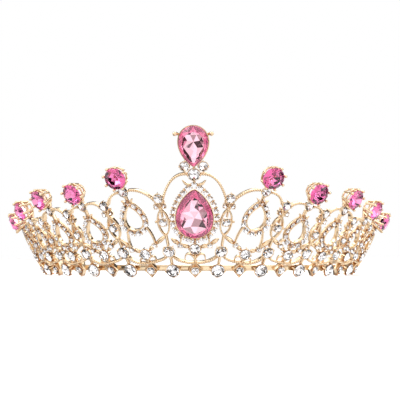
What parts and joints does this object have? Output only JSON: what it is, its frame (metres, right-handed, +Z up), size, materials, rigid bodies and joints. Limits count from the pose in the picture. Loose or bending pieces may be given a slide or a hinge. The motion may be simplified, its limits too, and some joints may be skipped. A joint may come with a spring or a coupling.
{
  "type": "tiara crown",
  "caption": "Princess crown: an open-backed tiara of pierced gold-plated metal with pink pear and round stones and rows of clear stones, worn on the head as costume jewellery.",
  "frame": {"origin": "middle of the bounding box's underside, in the plane that the base row's drop points and the end loops stand on", "axes": "+Z up, from the headband to the tips; -Y towards the front, where the tall centre unit is; +X to the viewer's right when the front is seen"},
  "size_m": [0.1646, 0.1386, 0.0522],
  "materials": {
    "gold_plate": "polished rose-gold plate on cast zinc alloy",
    "pink_glass": "faceted and foil-backed, so it is opaque",
    "clear_glass": "faceted and foil-backed, so it is opaque"
  },
  "bodies": {
    "root": {"frame": "gold_plate", "centre_pear": "pink_glass", "top_pear": "pink_glass", "tip_round_left_1": "pink_glass", "tip_round_left_2": "pink_glass", "tip_round_left_3": "pink_glass", "tip_round_left_4": "pink_glass", "tip_round_left_5": "pink_glass", "tip_round_right_1": "pink_glass", "tip_round_right_2": "pink_glass", "tip_round_right_3": "pink_glass", "tip_round_right_4": "pink_glass", "tip_round_right_5": "pink_glass", "base_round_left_1": "clear_glass", "base_round_left_2": "clear_glass", "base_round_left_3": "clear_glass", "base_round_left_4": "clear_glass", "base_round_left_5": "clear_glass", "base_round_right_1": "clear_glass", "base_round_right_2": "clear_glass", "base_round_right_3": "clear_glass", "base_round_right_4": "clear_glass", "base_round_right_5": "clear_glass", "unit_round_left_1": "clear_glass", "unit_round_left_2": "clear_glass", "unit_round_left_3": "clear_glass", "unit_round_left_4": "clear_glass", "unit_round_left_5": "clear_glass", "unit_round_right_1": "clear_glass", "unit_round_right_2": "clear_glass", "unit_round_right_3": "clear_glass", "unit_round_right_4": "clear_glass", "unit_round_right_5": "clear_glass", "unit_round_centre": "clear_glass", "trefoil_round_centre": "clear_glass", "trefoil_round_left_1": "clear_glass", "trefoil_round_right_1": "clear_glass"}
  },
  "joints": []
}
